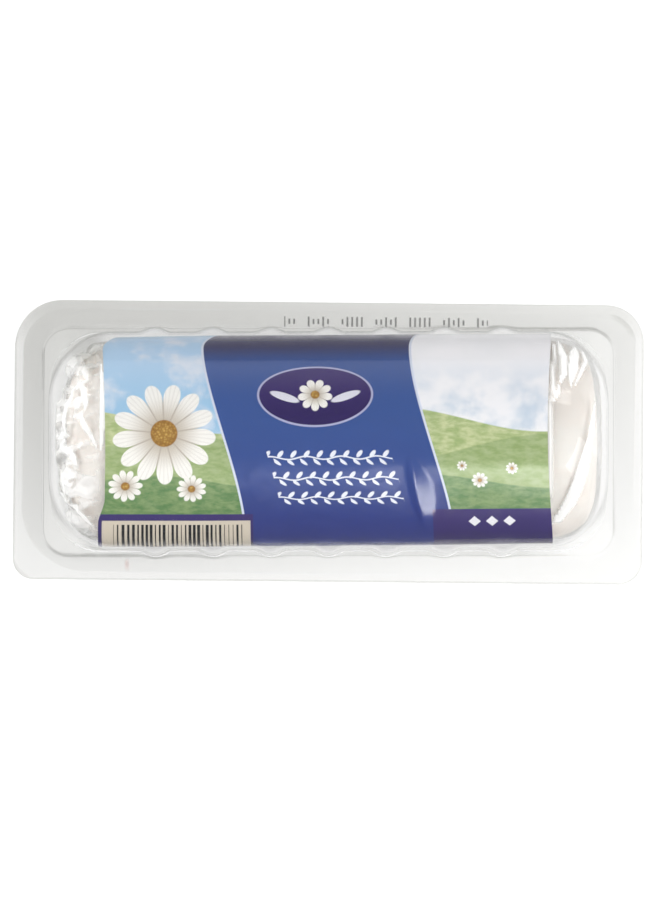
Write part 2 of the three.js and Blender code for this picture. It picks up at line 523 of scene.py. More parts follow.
def blister_levels():
    seal_top = RIM_TOP - SEAL_PRESS
    rim = level(rim_high.x, rim_high.y, RIM_CORNERS, RIM_TOP)
    inset = SEAL_MARGIN
    seal_edge = level(rim_high.x - inset, rim_high.y - inset, SEAL_CORNERS, RIM_TOP)
    inset += 2 * SEAL_PRESS
    seal_track = level(rim_high.x - inset, rim_high.y - inset, SEAL_CORNERS, seal_top)
    foot_bend = [step_level(STEP_BEND * (1 - math.sin(a)), seal_top + STEP_BEND * (1 - math.cos(a)))
                 for a in quarter_turn()]
    top_bend = [step_level(-STEP_LEAN - STEP_BEND * (1 - math.cos(a)),
                           STEP_TOP - STEP_BEND * (1 - math.sin(a))) for a in quarter_turn()]
    root_bend = [wall_level(DOME_HALF[1], ROOT_BEND * (1 - math.sin(a)), DOME_FOOT_CORNER,
                            STEP_TOP + ROOT_BEND * (1 - math.cos(a))) for a in quarter_turn()]
    levels = between(rim, seal_edge, MARGIN_SHARES)
    levels += between(seal_track, foot_bend[0], TRACK_SHARES)
    levels += foot_bend + between(foot_bend[-1], top_bend[0], RISER_SHARES) + top_bend
    levels += between(top_bend[-1], root_bend[0], LEDGE_SHARES) + root_bend
    for step in range(1, WALL_STEPS + 1):
        share = (step / WALL_STEPS) ** 1.5
        corner = lerp(DOME_FOOT_CORNER, DOME_SHOULDER_CORNER, share)
        half_width = DOME_HALF[1] - WALL_LEAN[1] * share
        levels.append(wall_level(half_width, 0, corner, lerp(STEP_TOP + ROOT_BEND, ARCH_FOOT, share)))
    arch_rise = rim_high.z - ARCH_FOOT
    for step in range(1, ARCH_STEPS + 1):
        angle = math.radians(CROWN_ANGLE * step / ARCH_STEPS)
        half_width = (DOME_HALF[1] - WALL_LEAN[1]) * math.cos(angle)
        z = ARCH_FOOT + arch_rise * math.sin(angle)
        levels.append(wall_level(half_width, 0, DOME_SHOULDER_CORNER, z))
    return levels


blister_rings = blister_levels()
print(len(blister_rings), "levels from the rim to the crown")

# %% [markdown]
# ## Grey, painted shade and a painted highlight on the blister
# The rim is a little greyer where the seal was pressed; the rest of its grey is painted shade, which
# grows towards the top left, runs in a line along the cut edge and lies in a crescent beside the upper
# right corner. The step carries painted shade as well, more beside the ribs and most round the dome's upper
# left corner, and it is hazy, apart from its upper side. Along the dome's root a painted highlight is laid
# on in white. A painted image could hold this, but here every vertex gets three numbers that the clear
# sheet's material reads, so they follow the shape.

# %% Grey and painted shade of the rim
CUT_EDGE_SHADE = 0.52
CUT_EDGE_FADE = (0.4 * MM, 0.15 * MM)
SEAL_GREY_AND_SHADE, SEAL_SHADE_FALLS, SEAL_SHADE_RISES = 0.26, 0.13, 0.22
MARGIN_SHADE = (0.1, 0.9)
MARGIN_SHADE_FROM = (0.6, 0.95)
# A crescent of painted shade beside the upper right corner.
CRESCENT_CENTRE = Vector((54.9 * MM, 19.9 * MM))
CRESCENT_INNER = (5.3 * MM, 6.2 * MM)
CRESCENT_OUTER = (6.62 * MM, 6.52 * MM)
CRESCENT_FIRST_DEGREES, CRESCENT_LAST_DEGREES = (-15, 35), (100, 60)
CRESCENT_SHADE = 0.6


def inside_rim(place):
    """How far a point of the rim lies inside its cut edge."""
    radius = RIM_CORNERS[("lower", "upper")[place.y > 0] + ("_left", "_right")[place.x > 0]]
    past = Vector((abs(place.x) - rim_high.x + radius, abs(place.y) - rim_high.y + radius))
    return radius - (past.length if min(past) > 0 else max(past))


def shade_crescent(place):
    """1 on a crescent of painted shade beside the upper right corner; its outer edge is sharp."""
    off = place.xy - CRESCENT_CENTRE
    turn = math.degrees(math.atan2(off.y, off.x))
    along = smoothstep(*CRESCENT_FIRST_DEGREES, turn) * smoothstep(*CRESCENT_LAST_DEGREES, turn)
    return along * smoothstep(*CRESCENT_INNER, off.length) * smoothstep(*CRESCENT_OUTER, off.length)


def rim_grey_and_painted_shade(place):
    """How grey the rim is: greyer where the seal was pressed, with painted shade that grows towards the top
    left, a painted shade line along the cut edge and a painted shade crescent.
    """
    # A line of painted shade along the cut edge, and painted shade that grows towards the top left.
    edge = CUT_EDGE_SHADE * smoothstep(*CUT_EDGE_FADE, inside_rim(place))
    across, up = place.x / rim_high.x, place.y / rim_high.y
    grey_and_shade = min(1.0, max(0.0, SEAL_GREY_AND_SHADE - SEAL_SHADE_FALLS * across + SEAL_SHADE_RISES * up))
    margin_shade = lerp(*MARGIN_SHADE, smoothstep(*MARGIN_SHADE_FROM, up))
    pressed = smoothstep(RIM_TOP, RIM_TOP - SEAL_PRESS, place.z)
    return max(lerp(margin_shade, 1.0, pressed) * grey_and_shade, edge, CRESCENT_SHADE * shade_crescent(place))


print("grey in the middle of the upper rim:", round(rim_grey_and_painted_shade(Vector((0, 25 * MM, RIM_TOP))), 2))

# %% Painted shade of the step and a painted highlight at the dome's root
LEDGE_SHADE, LEDGE_SHADE_FALLS, LEDGE_SHADE_RISES = 0.23, 0.12, 0.15
RIBS_SHADE, RIBS_SHADE_RISE = 0.38, 0.03
BESIDE_RIBS_Y = (19.5 * MM, 21 * MM)
BESIDE_RIBS_X = (47 * MM, 42 * MM)
CORNER_SHADE_CENTRE = Vector((-45.5 * MM, 11.8 * MM))
CORNER_SHADE_FIRST_DEGREES, CORNER_SHADE_LAST_DEGREES = (30, 50), (105, 85)
CORNER_SHADE_ROOT = (11 * MM, 10.1 * MM)
CORNER_ROOT_SHADE, CORNER_EDGE_SHADE = 0.6, 0.8
CLEAR_SIDE_Y = (17 * MM, 20 * MM)
CLEAR_SIDE_X = (54 * MM, 50 * MM)
PALE_ROOT = 0.85
PALE_END = 0.12
PALE_TO = 5 * MM
PALE_SIDES = (20 * MM, 21.2 * MM)
PALE_SOFT = 0.15
HAIR = 0.01 * MM


def step_painted_shade(place):
    """Painted shade on the step: more towards the top left and beside the ribs, most in an arc round the
    dome's upper left corner.
    """
    across, up = place.x / rim_high.x, place.y / rim_high.y
    beside_ribs = smoothstep(*BESIDE_RIBS_Y, abs(place.y)) * smoothstep(*BESIDE_RIBS_X, abs(place.x))
    plain = LEDGE_SHADE - LEDGE_SHADE_FALLS * across + LEDGE_SHADE_RISES * up
    ledge = lerp(plain, RIBS_SHADE + RIBS_SHADE_RISE * up, beside_ribs)
    ledge *= smoothstep(STEP_TOP + ROOT_BEND, STEP_TOP, place.z)
    # An arc of painted shade round the dome's upper left corner, at its root and on the step's edge.
    off = place.xy - CORNER_SHADE_CENTRE
    turn = math.degrees(math.atan2(off.y, -off.x))
    drawn = smoothstep(*CORNER_SHADE_FIRST_DEGREES, turn) * smoothstep(*CORNER_SHADE_LAST_DEGREES, turn)
    root = CORNER_ROOT_SHADE * smoothstep(*CORNER_SHADE_ROOT, off.length)
    edge = CORNER_EDGE_SHADE * smoothstep(STEP_TOP - STEP_BEND / 3, STEP_TOP - STEP_BEND, place.z)
    return max(ledge, drawn * max(root, edge))


def step_haze(place):
    """How hazy the step is: all round it, apart from its upper long side."""
    upper_side = smoothstep(*CLEAR_SIDE_Y, place.y) * smoothstep(*CLEAR_SIDE_X, abs(place.x))
    return (1 - upper_side) * smoothstep(STEP_TOP + HAIR, STEP_TOP, place.z)


def root_painted_highlight(place):
    """A painted highlight in white along the dome's root: stronger on the long sides than at the ends."""
    most = lerp(PALE_END, PALE_ROOT, smoothstep(*PALE_SIDES, abs(place.y)))
    root = smoothstep(STEP_TOP, STEP_TOP + PALE_SOFT * ROOT_BEND, place.z)
    return most * root * smoothstep(PALE_TO, STEP_TOP + ROOT_BEND, place.z)


print("grey beside a lower rib:", round(step_painted_shade(Vector((0, -22 * MM, STEP_TOP))), 2))

# %% Build the blister
DOME_YAW = Matrix.Rotation(math.radians(0.6), 3, "Z")
STEP_STARTS = RIM_TOP + 0.3 * MM
RIM_WAVE = 0.05 * MM
RIM_WAVE_LENGTH = 8 * MM


def build_blister():
    bm, _, crown_edges = sweep(blister_rings)
    bmesh.ops.edgeloop_fill(bm, edges=crown_edges)
    grey_and_painted_shade = bm.verts.layers.float.new("grey_and_painted_shade")
    pale = bm.verts.layers.float.new("pale")
    hazy = bm.verts.layers.float.new("hazy")
    formed = []
    for vert in bm.verts:
        if vert.co.z > STEP_STARTS:
            formed.append(vert)
            # Painted shade on the step.
            vert[grey_and_painted_shade] = step_painted_shade(vert.co)
            vert[hazy] = step_haze(vert.co)
            # A painted highlight along the dome's root.
            vert[pale] = root_painted_highlight(vert.co)
        else:
            # On the rim: the pressed seal's grey with painted shade.
            vert[grey_and_painted_shade] = rim_grey_and_painted_shade(vert.co)
            vert.co.z += RIM_WAVE * noise.noise(vert.co / RIM_WAVE_LENGTH)
    bmesh.ops.rotate(bm, verts=formed, cent=(0, 0, 0), matrix=DOME_YAW)
    face_up(bm)
    bmesh.ops.solidify(bm, geom=bm.faces[:], thickness=SHEET)
    return make_piece(bm, "ribbed_blister", "blister", clear_sheet("blister_plastic"))


build_blister()

# %% [markdown]
# ## The backing film
# The film is the flat back of the pack. It is a single sheet with the rim's outline, so it is one outline
# filled with a face and extruded by its thickness; a cube would lack the rounded corners. It carries a row
# of grey ticks along its upper edge, tall and short ones drawn at random, and a faint pink smear near the
# lower edge. Both are masks in the film's material, because they have no thickness.

# %% Marks on the film
TICK_ROW = (11.3 * MM, 24.2 * MM)
TICK_ROW_HALF = 20.4
TICK_PITCH = 0.97
TICK_GROUP = 6.79
TICK_GAP = 0.9
TICK_STROKE = 0.16
TICK_SHORT, TICK_TALL = 0.5, 0.95
TICK_STRENGTH = 0.45
TICK_INK = srgb(84, 86, 88)
SMEAR = (-40.1 * MM, -24.9 * MM)
SMEAR_NARROWS = 1.7
SMEAR_RAGGED = 1.6 * MM
SMEAR_FADE = (2.2 * MM, 0.8 * MM)
SMEAR_STRENGTH = 0.16
SMEAR_INK = srgb(232, 150, 140)


def place_on(tree):
    """A piece's own x and y as two fields, in metres."""
    split = add(tree, "SeparateXYZ", Vector=object_place(tree))
    return Field(tree, split.outputs[0]), Field(tree, split.outputs[1])


def random_cells(x, span):
    """A random number from 0 to 1 for each span along x, and the place within the span."""
    draw = x.tree.nodes.new("ShaderNodeTexWhiteNoise")
    draw.noise_dimensions = "1D"
    cell = (x * (1 / span) + 0.5).math("FLOOR")
    x.tree.links.new(cell.socket, draw.inputs["W"])
    return Field(x.tree, draw.outputs["Value"]), x.repeat(span)


def printed_ticks(tree):
    """The row of ticks, in groups; lengths are in millimetres from the row's middle."""
    x, y = place_on(tree)
    x, y = (x - TICK_ROW[0]) * (1 / MM), (y - TICK_ROW[1]) * (1 / MM)
    drawn, across = random_cells(x, TICK_PITCH)
    half_height = drawn.math("GREATER_THAN", 0.5) * (TICK_TALL - TICK_SHORT) + TICK_SHORT
    tick = (across.size() - TICK_STROKE).high(y.size() - half_height)
    group = x.repeat(TICK_GROUP).size() - (TICK_GROUP / 2 - TICK_GAP)
    return inside(tick.high(group).high(x.size() - TICK_ROW_HALF), 0.25) * TICK_STRENGTH


def pink_smear(tree):
    x, y = place_on(tree)
    x, y = (x - SMEAR[0]) * SMEAR_NARROWS, y - SMEAR[1]
    off = (x * x + y * y).math("SQRT") + object_noise(tree, 700, 3.0) * SMEAR_RAGGED
    return off.map(*SMEAR_FADE, 0, SMEAR_STRENGTH)


print("a row of ticks", 2 * TICK_ROW_HALF, "mm long, in groups every", TICK_GROUP, "mm")

# %% Build the backing film
FILM_GAP = 0.02 * MM


def build_backing_film():
    outline = level(film_high.x, film_high.y, RIM_CORNERS, film_low.z)
    bm = bmesh.new()
    ring = bmesh.ops.create_circle(bm, cap_ends=True, radius=1.0, segments=len(outline))["verts"]
    for vert, point in zip(ring, outline):
        vert.co = point
    grown = bmesh.ops.extrude_face_region(bm, geom=bm.faces[:])["geom"]
    bmesh.ops.translate(bm, verts=verts_in(grown), vec=(0, 0, film_high.z - film_low.z - FILM_GAP))
    bmesh.ops.recalc_face_normals(bm, faces=bm.faces)
    plastic = clear_sheet("film_plastic", ((printed_ticks, TICK_INK), (pink_smear, SMEAR_INK)))
    return make_piece(bm, "backing_sheet", "backing_film", plastic)


build_backing_film()

# %% [markdown]
# ## The cheese
# The log is soft and slumps: its lower half is flatter than its upper half. Its ends are cut and rubbed
# round. A scaled sphere would be too pointed, and a bevelled cylinder too true. It is swept along X through
# slices of one section that shrinks towards the ends, with a little noise, because soft things are uneven.
# Its material lets some light in under the surface, which looks softer than plain white.

# %% The log's section
LOG_SQUARENESS = 2.6
LOG_STRAIGHT = 40 * MM
END_BLUNTNESS = {-1: 3.2, 1: 4.2}
END_LAST = 0.985
TAPERS = ((0.012, -20 * MM, -50 * MM), (0.008, 10 * MM, 52 * MM))


def log_point(angle, clearance):
    """(y, z) on the log's section grown by a clearance; angle 0 is the +Y side, a quarter turn the crown."""
    across = math.cos(angle)
    up = math.sin(angle)
    half_width = log_high.y + clearance
    if up >= 0:
        return half_width * across, ARCH_FOOT + (log_high.z - ARCH_FOOT + clearance) * up
    power = 2 / LOG_SQUARENESS
    depth = ARCH_FOOT - log_low.z + clearance
    return math.copysign(half_width * abs(across) ** power, across), ARCH_FOOT - depth * abs(up) ** power


def taper(x):
    """The log is a little narrower towards its ends."""
    return 1 - sum(loss * smoothstep(start, end, x) for loss, start, end in TAPERS)


def log_end(side, half_length, steps):
    """Places along the blunt end on one side, and how far the section shrinks at each."""
    power = 2 / END_BLUNTNESS[side]
    stations = []
    for step in range(steps + 1):
        turn = math.pi / 2 * END_LAST * step / steps
        out = (half_length - LOG_STRAIGHT) * math.sin(turn) ** power
        stations.append((side * (LOG_STRAIGHT + out), math.cos(turn) ** power))
    return stations


def log_slices(half_lengths, clearance, end_steps, middle_steps, sides):
    """Slices along the log: even along the straight, closer together round the blunt ends."""
    middle = [(LOG_STRAIGHT * (2 * step / middle_steps - 1), 1.0) for step in range(1, middle_steps)]
    left, right = (log_end(side, half_lengths[side], end_steps) for side in (-1, 1))
    slices = []
    for x, shrink in left[::-1] + middle + right:
        ring = []
        for side in range(sides):
            y, z = log_point(2 * math.pi * side / sides, clearance)
            ring.append(Vector((x, y * shrink * taper(x), ARCH_FOOT + (z - ARCH_FOOT) * shrink)))
        slices.append(ring)
    return slices


print("the log's crown is at", round(log_point(math.pi / 2, 0.0)[1] / MM, 1), "mm")


# %% Cheese material
def cheese_material():
    material, tree = new_material("soft_cheese")
    cloud = object_noise(tree, 120, 4.0).map(0.3, 0.7)
    colour = blend_colour(tree, cloud, srgb(241, 234, 229), srgb(247, 243, 239))
    crumb = object_noise(tree, 1500, 4.0, 0.65)
    rough = crumb.map(0.3, 0.7, 0.42, 0.62)
    shader = add(tree, "BsdfPrincipled", Base_Color=colour, Roughness=rough, Subsurface_Weight=0.25,
                 Subsurface_Radius=(1.8 * MM, 1.6 * MM, 1.5 * MM), Subsurface_Scale=1.0,
                 Normal=bump(tree, crumb, 0.15 * MM, 0.5))
    surface(tree, shader)
    return material


# %% Build the cheese
CHEESE_ENDS = {-1: 52.8 * MM, 1: 53.6 * MM}
CHEESE_CLEARANCE = -0.4 * MM
CHEESE_UNEVEN = 0.35 * MM
CHEESE_WAVE = 7 * MM
END_ROOM = {-1: 1.0 * MM, 1: 0.6 * MM}
END_ROOM_FROM = (44 * MM, 49 * MM)
LOG_YAW = Matrix.Rotation(math.radians(1.0), 3, "Z")


def close_ends(bm, first, last):
    for ring in (first, last):
        bmesh.ops.edgeloop_fill(bm, edges=ring)


def build_cheese():
    slices = log_slices(CHEESE_ENDS, CHEESE_CLEARANCE, end_steps=24, middle_steps=30, sides=120)
    bm, first, last = sweep(slices)
    close_ends(bm, first, last)
    bmesh.ops.recalc_face_normals(bm, faces=bm.faces)
    bm.normal_update()
    for vert in bm.verts:
        room = END_ROOM[-1 if vert.co.x < 0 else 1] * smoothstep(*END_ROOM_FROM, abs(vert.co.x))
        vert.co += vert.normal * (CHEESE_UNEVEN * (noise.noise(vert.co / CHEESE_WAVE) - 0.5) - room)
    bmesh.ops.rotate(bm, verts=bm.verts, cent=(0, 0, 0), matrix=LOG_YAW)
    return make_piece(bm, "cheese", "wrapped_log", cheese_material())


build_cheese()

# %% [markdown]
# ## The wrap
# Thin clear wrap is drawn round the log and crumpled over its ends. A cloth simulation could crumple it,
# but it would land differently with every change. Crumpled film has flat facets that meet in sharp
# creases, so its height here is a sum of folded planes: each is a zigzag across space in a direction drawn
# at random. A few long folds lie where the real ones do. The film is a single skin that mirrors some
# light. Where folds lie in layers it looks milky, and their white is partly a painted highlight; on the
# left end, white is painted on the facets that face the light, as painted light.

# %% Wrap material
def wrap_material():
    """Thin film that mirrors some light and turns white by a stored share: on its folds, which are partly
    layers of film and partly a painted highlight, and as painted light on facets that face the light.
    """
    material, tree = new_material("clear_wrap")
    rough = object_noise(tree, 500, 2.0).map(0.35, 0.7, 0.1, 0.22)
    gloss = add(tree, "BsdfGlossy", Color=(1, 1, 1, 1), Roughness=rough)
    clear = add(tree, "BsdfTransparent", Color=(0.98, 0.98, 0.975, 1))
    white_film = add(tree, "BsdfDiffuse", Color=(0.97, 0.97, 0.97, 1))
    film_with_white = mix_shader(tree, attribute(tree, "milk_and_painted_light"), clear, white_film)
    surface(tree, mix_shader(tree, mirror_share(tree), film_with_white, gloss))
    return material


# %% Crumples
FOLD_SEED = 5
random.seed(FOLD_SEED)
noise.seed_set(FOLD_SEED)
FOLDS = ((4, 6 * MM, 13 * MM), (4, 2.5 * MM, 5 * MM))
CRUMPLE_FROM = 42.5 * MM
CRUMPLE_FULL = {-1: 47.5 * MM, 1: 51 * MM}
FOLD_SLOPE = {-1: 0.3, 1: 0.03}
SINK = {-1: 0.7 * MM, 1: 0.5 * MM}
DEEPEST = 1.2 * MM
# Painted light: how white the facets that face the light are painted, at each end.
FACET_PAINTED_LIGHT = {-1: 0.7, 1: 0.0}
PAINTED_LIGHT_FROM = Vector((-0.35, 0.75, 0.55))
PAINTED_LIGHT_SOFT = 0.8
WANDER = 1.5 * MM
WANDER_WAVE = 7 * MM


def drawn_fold(shortest, longest):
    direction = Vector((random.gauss(0, 1), random.gauss(0, 1), random.gauss(0, 1))).normalized()
    return direction, random.uniform(shortest, longest), random.random()


def drawn_folds():
    return [drawn_fold(shortest, longest) for count, shortest, longest in FOLDS for _ in range(count)]


folds = {side: drawn_folds() for side in (-1, 1)}


def facets(point, side):
    """The crumples' height at a point, and how far the flat facet that it lies on turns to the light."""
    bent = point + noise.noise_vector(point / WANDER_WAVE) * WANDER
    height = 0.0
    slope = Vector((0, 0, 0))
    for direction, length, phase in folds[side]:
        t = bent.dot(direction) / length + phase
        t -= math.floor(t)
        height += length / 2 * (abs(2 * t - 1) - 0.5)
        slope += direction if t > 0.5 else -direction
    return height, smoothstep(-PAINTED_LIGHT_SOFT, PAINTED_LIGHT_SOFT, slope.normalized().dot(PAINTED_LIGHT_FROM))


print("folded planes at each end:", len(folds[-1]), "and", len(folds[1]))

# %% Long folds
# Each long fold is a ridge along points in plan, in millimetres, with its half width at each point. Then
# come its height and how much of its half width fades out.
RIDGES = [
    ([(52.4, 7.6, 0.15), (51.3, 0.5, 0.6), (50.1, -4.6, 1.2), (49.2, -8.0, 1.4), (47.5, -12.0, 1.35),
      (45.2, -15.3, 0.9)], 0.3, 0.2),
    ([(44.2, 19.0, 0.3), (43.7, 12.0, 0.5), (43.1, 4.0, 0.4), (43.2, -5.0, 0.4), (44.0, -16.0, 0.3)],
     0.25, 0.7),
    ([(45.0, 19.6, 0.4), (45.9, 16.6, 0.9), (45.9, 13.2, 0.8), (45.1, 11.2, 0.15)], 0.3, 0.3),
    ([(45.1, 11.4, 0.15), (44.6, 9.3, 0.5), (43.8, 7.6, 0.3)], 0.25, 0.4),
    ([(48.3, 18.6, 0.4), (48.2, 17.6, 1.0), (47.8, 14.4, 1.15), (47.2, 10.7, 0.15)], 0.3, 0.2),
    ([(49.9, 17.8, 0.3), (50.5, 15.9, 0.6), (49.0, 12.9, 0.5), (48.0, 10.8, 0.15)], 0.3, 0.5),
    ([(-44.5, 14.0, 0.2), (-44.1, 8.0, 0.7), (-44.0, 2.0, 0.8), (-44.2, -3.0, 0.2)], 0.3, 0.4),
    ([(-48.1, 4.3, 0.1), (-48.0, 2.9, 0.6), (-47.0, 0.8, 0.8), (-45.2, -2.5, 0.2)], 0.35, 0.5),
    ([(-49.6, 11.3, 0.1), (-50.3, 9.4, 0.6), (-51.2, 6.1, 0.45), (-51.8, 3.5, 0.65), (-52.2, 0.2, 0.5),
      (-53.0, -1.9, 0.1)], 0.4, 0.6),
    ([(-49.6, 11.3, 0.1), (-48.0, 9.1, 0.9), (-47.4, 6.4, 0.8), (-47.5, 5.0, 0.1)], 0.4, 0.7),
    ([(-48.1, 14.2, 0.1), (-47.8, 12.6, 1.0), (-47.4, 11.2, 0.2)], 0.35, 0.7),
    ([(-53.0, -2.0, 0.1), (-51.6, -3.2, 1.2), (-50.6, -4.6, 1.0), (-49.7, -6.2, 0.1)], 0.4, 0.5),
    ([(-53.4, -8.0, 0.1), (-52.2, -13.2, 0.6), (-49.9, -14.3, 0.9), (-47.7, -16.0, 0.6), (-45.8, -17.8, 0.1)],
     0.45, 0.5),
    ([(-53.0, -8.6, 0.1), (-51.6, -9.2, 0.5), (-50.6, -10.2, 0.1)], 0.35, 0.7),
    ([(-52.3, -7.4, 0.1), (-51.8, -10.2, 0.5), (-51.6, -12.0, 0.1)], 0.35, 0.7),
]
# The ridges' white is partly layers of film and partly a painted highlight, fading on one side.
RIDGE_MILK_AND_HIGHLIGHT = 0.9


def ridge_share(path, x, y):
    """1 on the back of a ridge, 0 beyond its half width; all in plan and in millimetres."""
    best = 0.0
    point = Vector((x, y))
    for start, end in zip(path, path[1:]):
        foot = Vector(start[:2])
        along = Vector(end[:2]) - foot
        share = min(1.0, max(0.0, (point - foot).dot(along) / along.length_squared))
        width = lerp(start[2], end[2], share)
        best = max(best, 1 - (foot + along * share - point).length / width)
    return best


def ridges_at(point):
    """The lift of the ridges at a point on the upper side, and how white they are there: partly layers of
    film and partly a painted highlight.
    """
    lift, milk_and_highlight = 0.0, 0.0
    if point.z > ARCH_FOOT:
        for path, height, fade in RIDGES:
            if path[0][0] * point.x > 0:
                share = ridge_share(path, point.x / MM, point.y / MM)
                lift = max(lift, share * height * MM)
                milk_and_highlight = max(milk_and_highlight, smoothstep(0.0, fade, share))
    return lift, milk_and_highlight


def crumple(point):
    """How far the wrap sinks from the log's outline, and how white it is there: on folds, partly layers of
    film and partly a painted highlight, and as painted light on facets that face the light.
    """
    side = -1 if point.x < 0 else 1
    strength = smoothstep(CRUMPLE_FROM, CRUMPLE_FULL[side], abs(point.x))
    height, glow = facets(point, side)
    lift, milk_and_highlight = ridges_at(point)
    sink = min(DEEPEST, max(0.0, SINK[side] + FOLD_SLOPE[side] * height)) * strength
    return max(0.0, sink - lift), max(RIDGE_MILK_AND_HIGHLIGHT * milk_and_highlight, FACET_PAINTED_LIGHT[side] * glow * strength)


print(len(RIDGES), "long folds")

# %% Build the wrap
WRAP_ENDS = {-1: log_high.x + 0.2 * MM, 1: log_high.x + 0.5 * MM}


def build_wrap():
    bm, first, last = sweep(log_slices(WRAP_ENDS, 0.0, end_steps=70, middle_steps=16, sides=360))
    close_ends(bm, first, last)
    bmesh.ops.rotate(bm, verts=bm.verts, cent=(0, 0, 0), matrix=LOG_YAW)
    bmesh.ops.recalc_face_normals(bm, faces=bm.faces)
    bm.normal_update()
    milk_and_painted_light = bm.verts.layers.float.new("milk_and_painted_light")
    for vert in bm.verts:
        if abs(vert.co.x) > CRUMPLE_FROM:
            sink, vert[milk_and_painted_light] = crumple(vert.co)
            vert.co -= vert.normal * sink
    return make_piece(bm, "crumpled_wrap", "wrapped_log", wrap_material())


wrap = build_wrap()

# %% [markdown]
# ## The label
# The label is a strip of glossy paper, printed flat and then bent over the log. It is made the same way:
# a flat grid keeps its flat coordinates as a UV map in millimetres, and is then laid on the arch by the
# distance from the crown. An image could hold the print; here it is drawn on that map with plain shapes,
# one ink over another, so it stays sharp and the script needs no file. The paper's back is plain.

# %% Flat paper
class Print:
    """Inks laid one over another on the flat paper; x runs along the label, y across it from the crown."""

    def __init__(self, tree):
        self.tree = tree
        uv = tree.nodes.new("ShaderNodeUVMap")
        uv.uv_map = "print"
        split = add(tree, "SeparateXYZ", Vector=uv.outputs[0])
        self.x = Field(tree, split.outputs[0])
        self.y = Field(tree, split.outputs[1])
        self.colour = srgb(240, 240, 240)

    def ink(self, mask, colour):
        self.colour = blend_colour(self.tree, mask, self.colour, colour)

    def shade(self, field, low, high):
        return blend_colour(self.tree, field, low, high)


# %% Sky and meadow
# Each hill is a sine wave: its radians per millimetre, phase, height, middle and soft edge, and two greens.
HILLS = (
    (0.10, 0.4, 2.6, 3.4, 0.3, srgb(160, 180, 122), srgb(202, 210, 162)),
    (0.085, 0.9, -3.0, -2.6, 0.4, srgb(146, 168, 110), srgb(172, 188, 140)),
    (0.12, -0.6, 1.6, -9.0, 0.4, srgb(96, 134, 86), srgb(138, 162, 112)),
)


def print_scenery(sheet):
    """Blue sky on the left half, a white veil of cloud on the right, and three hills in front."""
    x, y, tree = sheet.x, sheet.y, sheet.tree
    cloud = object_noise(tree, 110, 4.0, 0.55)
    grass = object_noise(tree, 420, 4.0, 0.6, (1, 2.2, 1))
    sheet.colour = sheet.shade(y.map(2, 20), srgb(158, 200, 232), srgb(180, 210, 238))
    sheet.ink(cloud.map(0.5, 0.68, 0, 0.8), srgb(228, 232, 242))
    veil = sheet.shade(y.map(4, 20), srgb(200, 214, 230), srgb(250, 249, 253))
    sheet.ink(inside(-x), sheet.shade(cloud.map(0.4, 0.62), veil, srgb(246, 246, 250)))
    for pace, phase, height, middle, soft, dark, light in HILLS:
        crest = y - (x * pace + phase).sin() * height - middle
        sheet.ink(inside(crest, soft), sheet.shade(grass.map(0.3, 0.7), dark, light))


print(len(HILLS), "hills on the label")

# %% Daisies
VEINS = 5
PETAL_GAP = 0.012
EYE = 0.26
SEEDS_PER_METRE = 1900
# Each daisy: its centre and radius in millimetres, its petals and its turn in degrees.
DAISIES = [((-32.0, 1.0), 10.2, 13, 8), ((-39.6, -9.6), 3.4, 11, 20), ((-26.6, -10.2), 2.9, 11, 0),
           ((30.0, -8.8), 1.6, 9, 0), ((36.4, -6.4), 1.2, 9, 15), ((26.6, -5.8), 1.0, 9, 30)]


def print_daisy(sheet, centre, radius, petals, turn):
    x, y = turned(sheet.x - centre[0], sheet.y - centre[1], turn)
    out = disc(x, y, 0)
    angle = y.math("ARCTAN2", x)
    tone = sheet.shade(out.map(0.15 * radius, 0.8 * radius), srgb(196, 186, 172), srgb(248, 246, 242))
    veins = (angle * (petals * VEINS)).sin().map(0.2, 1.0, 0.0, 0.16)
    tone = sheet.shade(veins, tone, srgb(170, 164, 160))
    between_petals = (angle * (petals / 2)).sin().size() * out * (2 / petals) - PETAL_GAP * radius
    tone = sheet.shade(inside(between_petals, 0.3), tone, srgb(186, 176, 164))
    sheet.ink(inside(daisy_petals(x, y, radius, petals), 0.3), tone)
    seeds = add(sheet.tree, "TexVoronoi", Vector=object_place(sheet.tree), Scale=SEEDS_PER_METRE)
    grain = Field(sheet.tree, seeds.outputs["Distance"]).map(0.1, 0.7)
    eye_tone = sheet.shade(out.map(0, 0.28 * radius), srgb(214, 176, 92), srgb(176, 134, 66))
    eye_tone = sheet.shade(grain * 0.7, eye_tone, srgb(138, 96, 44))
    sheet.ink(inside(disc(x, y, EYE * radius), 0.3), eye_tone)


print(len(DAISIES), "daisies in the meadow")

# %% Band
BAND_HALF = 20.0
BAND_EDGE = 0.45
BAND_LEAN, BAND_BOW = 4.0, -0.075
MEDALLION = (-2.2, 8.6)
MEDALLION_HALF = (11.0, 6.2)
MEDALLION_RING = 0.4
MEDALLION_DAISY = (MEDALLION, 3.4, 9, 10)
WING, WING_HALF, WING_TURN = (6.0, -0.4), (3.0, 0.8), 20
SPRIGS = (-0.5, -8.2)
SPRIGS_HALF = (12.2, 6.2)
SPRIG_ROW, SPRIG_STEP = 4.2, 2.6
STEM_HALF, STEM_PACE, STEM_WAVE = 0.14, 0.9, 0.3
# Each leaf: its place along and above the stem, and its turn in degrees.
LEAVES = ((0.3, 0.75, 42), (-0.9, -0.75, -42))
LEAF_HALF = (0.95, 0.36)


